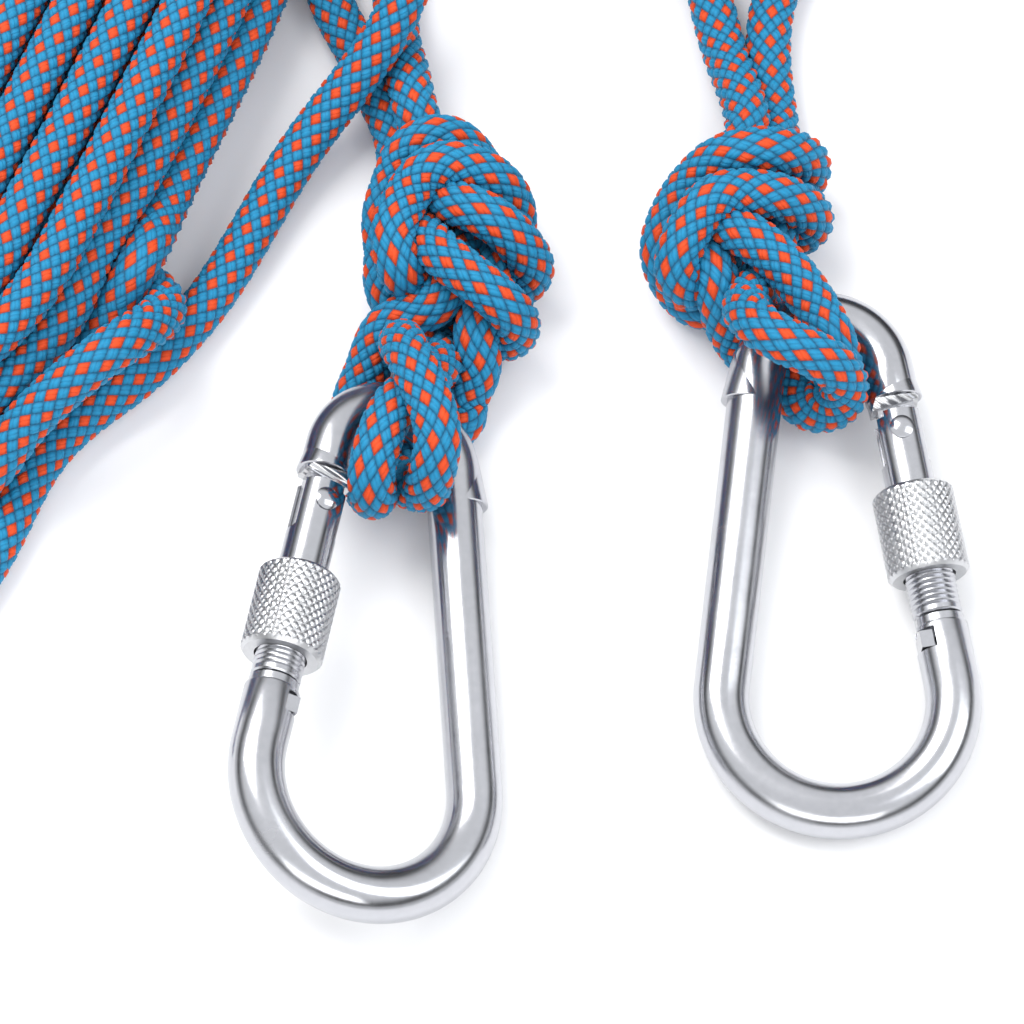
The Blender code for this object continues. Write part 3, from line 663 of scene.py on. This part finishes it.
rope("left_rail_rope", smooth(knots[0]), sub_near, ("left_tail_front", "left_tail_back", "left_knot", "left_loop"))
rope("right_rail_rope", smooth(knots[1]), 3, ("right_tail_front", "right_tail_back", "right_knot", "right_loop"))
for i, p in enumerate(laid[:10]):
    rope("left_bight_%d" % (i + 1), smooth(p, 1), sub_mid if i >= 6 else sub_far, ("left_hank",))
rope("left_free_rope", smooth(laid[10], 1), sub_mid, ("left_free_end",))
rope("left_hank_turn", smooth(laid[11], 1), sub_mid, ("left_hank",))
for i, p in enumerate(laid_right):
    rope("right_bight_%d" % (i + 1), smooth(p, 1), sub_far, ("right_hank",))
end = relax([curve(stopper(), STEP)], STEP, 120, 0.02, 0.10)
rope("right_stopper_rope", smooth(end[0]), sub_far, ("right_end_knot",))

# ----------------------------------------------------------------------- hooks


def mesh_object(name, bm, mat, body, matrix):
    bmesh.ops.recalc_face_normals(bm, faces=bm.faces)
    bm.transform(Matrix.Translation(Vector([-x * MM for x in ORIGIN])) @ Matrix.Diagonal((MM, MM, MM, 1)) @ matrix)
    me = bpy.data.meshes.new(name)
    bm.to_mesh(me)
    bm.free()
    me.materials.append(mat)
    me.shade_smooth()
    me.set_sharp_from_angle(angle=math.radians(30))
    o = bpy.data.objects.new(name, me)
    bpy.context.scene.collection.objects.link(o)
    if body:
        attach(o, body)
    return o


def sweep(points, radii, sides, binormal):
    bm = bmesh.new()
    z = Vector(binormal)
    rows = []
    for i, (p, r) in enumerate(zip(points, radii)):
        a = Vector(points[max(i - 1, 0)])
        b = Vector(points[min(i + 1, len(points) - 1)])
        t = (b - a).normalized()
        u = t.cross(z)
        rows.append([bm.verts.new(Vector(p) + (u * math.cos(k) + z * math.sin(k)) * r) for k in (2 * math.pi * j / sides for j in range(sides))])
    for p, q in zip(rows, rows[1:]):
        for k in range(sides):
            bm.faces.new((p[k], p[(k + 1) % sides], q[(k + 1) % sides], q[k]))
    bm.faces.new(rows[0])
    bm.faces.new(rows[-1])
    return bm


def turned(profile, sides, axis_point, axis_dir, side_dir):
    """Solid turned round an axis: profile is a loop of (along, radius)."""
    a = Vector(axis_dir).normalized()
    u = Vector(side_dir)
    u = (u - a * u.dot(a)).normalized()
    w = a.cross(u)
    c = Vector(axis_point)
    bm = bmesh.new()
    rows = []
    for s, r in profile:
        if r < 1e-9:
            rows.append([bm.verts.new(c + a * s)])
        else:
            rows.append([bm.verts.new(c + a * s + (u * math.cos(t) + w * math.sin(t)) * r) for t in (2 * math.pi * k / sides for k in range(sides))])
    for i in range(len(rows)):
        p, q = rows[i], rows[(i + 1) % len(rows)]
        if len(p) == 1 and len(q) == 1:
            continue
        for k in range(sides):
            l = (k + 1) % sides
            if len(p) == 1:
                bm.faces.new((p[0], q[k], q[l]))
            elif len(q) == 1:
                bm.faces.new((p[k], p[l], q[0]))
            else:
                bm.faces.new((p[k], p[l], q[l], q[k]))
    return bm


def leg_turned(profile, sides=48):
    return turned(profile, sides, LEG_START, LEG, (0, 0, 1))


def pin_turned(profile, sides=32):
    return turned(profile, sides, on_leg(PIN_S), (0, 0, 1), LEG)


def leg_block(s0, s1, out0, out1, half_z):
    bm = bmesh.new()
    bmesh.ops.create_cube(bm, size=1.0)
    for v in bm.verts:
        v.co = on_leg(s0 if v.co.y > 0 else s1, out1 if v.co.x > 0 else out0, half_z * (1 if v.co.z > 0 else -1))
    return bm


def apply_booleans(target, steps, matrix):
    """steps are (operation, bmesh); the cutters are gone afterwards."""
    made = []
    for op, bm in steps:
        c = mesh_object("cutter", bm, STEEL, None, matrix)
        m = target.modifiers.new(op, "BOOLEAN")
        m.operation, m.solver, m.object = op, "EXACT", c
        made.append(c)
    bpy.context.view_layer.update()
    dg = bpy.context.evaluated_depsgraph_get()
    me = bpy.data.meshes.new_from_object(target.evaluated_get(dg), depsgraph=dg)
    target.modifiers.clear()
    target.data = me
    for c in made:
        bpy.data.objects.remove(c, do_unlink=True)
    me.materials.clear()
    me.materials.append(STEEL)
    me.shade_smooth()
    me.set_sharp_from_angle(angle=math.radians(32))
    return target


def knurl(a, b, r, bore, chamfer):
    """Sleeve with a diamond knurl cut round it: crossed grooves in a fine grid."""
    around, along = 224, 66
    starts, lead = 28, 3.9
    bm = bmesh.new()
    rows = []
    for i in range(along + 1):
        s = a + (b - a) * i / along
        edge = min(s - a, b - s)
        ring = []
        for k in range(around):
            t = 2 * math.pi * k / around
            h = 1.0
            if edge > chamfer * 0.9:
                x = t * starts / (2 * math.pi)
                y = (s - a) / 1.75
                g1 = abs(((x + y) % 1.0) - 0.5) * 2
                g2 = abs(((x - y) % 1.0) - 0.5) * 2
                h = min(min(g1, g2) * 2.2, 1.0)
            rr = r - (1 - h) * 0.28 - max(0.0, chamfer - edge)
            ring.append((s, rr, t))
        rows.append(ring)
    grid = []
    for ring in rows:
        grid.append([bm.verts.new(LEG_START + LEG * s + (LEG_OUT * math.cos(t) + Vector((0, 0, 1)) * math.sin(t)) * rr) for s, rr, t in ring])
    for p, q in zip(grid, grid[1:]):
        for k in range(around):
            bm.faces.new((p[k], p[(k + 1) % around], q[(k + 1) % around], q[k]))
    inner = []
    for s in (a, b):
        inner.append([bm.verts.new(LEG_START + LEG * s + (LEG_OUT * math.cos(t) + Vector((0, 0, 1)) * math.sin(t)) * bore) for t in (2 * math.pi * k / around for k in range(around))])
    for k in range(around):
        l = (k + 1) % around
        bm.faces.new((grid[0][k], inner[0][k], inner[0][l], grid[0][l]))
        bm.faces.new((grid[-1][k], grid[-1][l], inner[1][l], inner[1][k]))
        bm.faces.new((inner[0][k], inner[1][k], inner[1][l], inner[0][l]))
    return bm


for side, (matrix, shift) in HOOKS.items():
    pts, rad = bar_path(40, 56)
    body = mesh_object(side + "_hook_bar", sweep(pts, rad, 48, (0, 0, 1)), STEEL, None, matrix)
    tongue = bmesh.new()
    bmesh.ops.create_cube(tongue, size=1.0)
    for v in tongue.verts:
        v.co = on_leg(SHOULDER_S - 2.0 if v.co.y > 0 else TONGUE_END_S, v.co.x * 6.8, v.co.z * 3.8)
    apply_booleans(body, [("UNION", tongue), ("DIFFERENCE", pin_turned(((-8, 0), (-8, 1.6), (8, 1.6), (8, 0)))),
                          ("DIFFERENCE", leg_block(NOSE_S - 2, 53.2, -6.5, 1.8, 2.1)),
                          ("DIFFERENCE", leg_block(50.9, 54.7, -6.5, -1.7, 7.0))], matrix)
    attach(body, side + "_hook")
    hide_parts(side + "_hook_body")
    # the pressed lips where the narrow end's die stopped, one on each leg
    for tag, sx, shift_out, lip in (("gate", 1, 0.25, 5.15), ("back", -1, 1.0, 5.1)):
        c, d = on_leg(0, shift_out), LEG.copy()
        c.x, d.x = c.x * sx, d.x * sx
        bm = turned(((-7.0, 0), (-7.0, 1.6), (-3.0, 3.9), (SHOULDER_S - 0.5, lip), (SHOULDER_S - 0.1, lip), (SHOULDER_S + 0.05, lip - 0.25), (SHOULDER_S + 0.05, 0)), 56, c, d, (0, 0, 1))
        stop = mesh_object("%s_hook_lip_%s" % (side, tag), bm, STEEL, side + "_hook", matrix)
    # run-out of the cutter that made the tongue: slanted faces with cutter marks
    bm = bmesh.new()
    for s, out, z in ((5.0, -4.6, 4.4), (5.0, 4.6, 4.4), (8.35, -4.4, 2.3), (7.1, 4.4, 2.5)):
        for k in (-1, 1):
            bm.verts.new(on_leg(s, out, z * k))
    bmesh.ops.convex_hull(bm, input=bm.verts)
    run_out = mesh_object(side + "_tongue_run_out", bm, STEEL, None, matrix)
    apply_booleans(run_out, [("INTERSECT", leg_turned(((4.0, 0), (4.0, 4.95), (9.5, 4.95), (9.5, 0)), 48))], matrix)
    run_out.data.materials.clear()
    run_out.data.materials.append(MILLED)
    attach(run_out, side + "_hook")

    s0, s1 = GATE_S
    prof = [(s0, 0), (s0, GATE_R - 0.5), (s0 + 0.5, GATE_R)]
    thread0, thread1, pitch = 36.0, 48.0, 1.0
    s = thread0
    prof += [(s, GATE_R)]
    while s + pitch < thread1:
        prof += [(s + 0.12, GATE_R), (s + 0.5, GATE_R - 0.38), (s + 0.88, GATE_R)]
        s += pitch
    prof += [(s1 - 0.3, GATE_R), (s1, GATE_R - 0.3), (s1, 0)]
    gate = mesh_object(side + "_gate_bar", leg_turned(prof, 64), STEEL, None, matrix)
    apply_booleans(gate, [("UNION", leg_block(s1 - 1, 52.2, -4.1, 1.2, 1.8)), ("UNION", leg_block(51.25, 54.35, -4.35, -2.0, 3.6)),
                          ("UNION", leg_block(51.0, 53.0, -4.1, -2.1, 1.8)), ("DIFFERENCE", leg_block(s0 - 2, 18.9, -7, 7, 2.2)),
                          ("DIFFERENCE", leg_block(s0 - 1, s0 + 1.5, -7, -2.7, 7)),
                          ("DIFFERENCE", leg_turned(((17, 0), (17, 2.45), (38, 2.45), (38, 0)), 24)),
                          ("DIFFERENCE", pin_turned(((-8, 0), (-8, 1.6), (8, 1.6), (8, 0))))], matrix)
    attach(gate, side + "_gate_arm")
    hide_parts(side + "_gate")

    rivet = [(-5.35, 0), (-5.3, 0.9), (-5.05, 1.7), (-4.75, 2.15), (-4.6, 2.15), (-4.55, 1.25), (4.55, 1.25), (4.6, 2.15), (4.75, 2.15), (5.05, 1.7), (5.3, 0.9), (5.35, 0)]
    pin = mesh_object(side + "_gate_rivet", pin_turned(rivet, 40), STEEL, side + "_hook", matrix)
    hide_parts(side + "_gate_pin")

    a, b = SLEEVE_S[0] + shift, SLEEVE_S[1] + shift
    sleeve = mesh_object(side + "_knurled_sleeve", knurl(a, b, SLEEVE_R, SLEEVE_BORE_R, 0.7), MATTE, side + "_sleeve", matrix)
    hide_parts(side + "_lock_sleeve")

# --------------------------------------------------------- carried-over nodes
for name, o in frame["nodes"].items():
    mat = None
    if name.startswith("rung_"):
        mat = RUNG
    elif "_bush_" in name:
        mat = RUBBER
    elif name.endswith("_gate_spring"):
        mat = WIRE
    elif name.endswith("_gate_plunger"):
        mat = STEEL
    if mat:
        o.data.materials.clear()
        o.data.materials.append(mat)

# ------------------------------------------------------------ floor and lights
floor_mat, nt, b = principled("floor")
b.inputs["Base Color"].default_value = (0.93, 0.93, 0.94, 1)
b.inputs["Roughness"].default_value = 0.7
b.inputs["Specular IOR Level"].default_value = 0.15
bm = bmesh.new()
bmesh.ops.create_grid(bm, x_segments=1, y_segments=1, size=3.0)
me = bpy.data.meshes.new("floor")
bm.to_mesh(me)
bm.free()
me.materials.append(floor_mat)
floor = bpy.data.objects.new("floor", me)
floor.location = (0, 0, -0.0002)
bpy.context.scene.collection.objects.link(floor)

scene = bpy.context.scene
w = bpy.data.worlds.new("world")
scene.world = w
w.use_nodes = True
bg = w.node_tree.nodes["Background"]
# a bright ceiling and horizon with a darker band between, so that the bars show dark streaks
way = w.node_tree.nodes.new("ShaderNodeTexCoord")
split = w.node_tree.nodes.new("ShaderNodeSeparateXYZ")
w.node_tree.links.new(way.outputs["Generated"], split.inputs[0])
rise = w.node_tree.nodes.new("ShaderNodeValToRGB")
ramp = rise.color_ramp
for k, (where, level) in enumerate(((0.0, 0.78), (0.13, 0.78), (0.22, 0.10), (0.34, 0.10), (0.58, 1.0))):
    e = ramp.elements[k] if k < 2 else ramp.elements.new(where)
    e.position, e.color = where, (level, level, level, 1)
w.node_tree.links.new(split.outputs[2], rise.inputs[0])
gain = w.node_tree.nodes.new("ShaderNodeMath")
gain.operation = "MULTIPLY"
gain.inputs[1].default_value = 1.12
w.node_tree.links.new(rise.outputs[0], gain.inputs[0])
w.node_tree.links.new(gain.outputs[0], bg.inputs["Strength"])
bg.inputs["Color"].default_value = (0.97, 0.985, 1.0, 1)


def area(name, where, to, size, power, colour=(1, 1, 1)):
    l = bpy.data.lights.new(name, "AREA")
    l.shape = "RECTANGLE"
    l.size, l.size_y = size
    l.energy = power
    l.color = colour
    o = bpy.data.objects.new(name, l)
    bpy.context.scene.collection.objects.link(o)
    o.location = where
    o.rotation_euler = (Vector(to) - Vector(where)).to_track_quat("-Z", "Y").to_euler()
    return o


target = (-0.08, -0.06, 0.01)
area("key", (-0.55, 0.35, 1.0), target, (0.7, 0.7), 9.0, (1.0, 0.99, 0.97))
area("fill", (0.75, -0.2, 0.9), target, (0.6, 0.9), 5.0, (0.96, 0.98, 1.0))
area("front", (-0.1, -0.9, 0.5), target, (0.9, 0.3), 2.5)

scene.view_settings.view_transform = "Standard"
scene.view_settings.look = "None"
scene.view_settings.exposure = 0.0
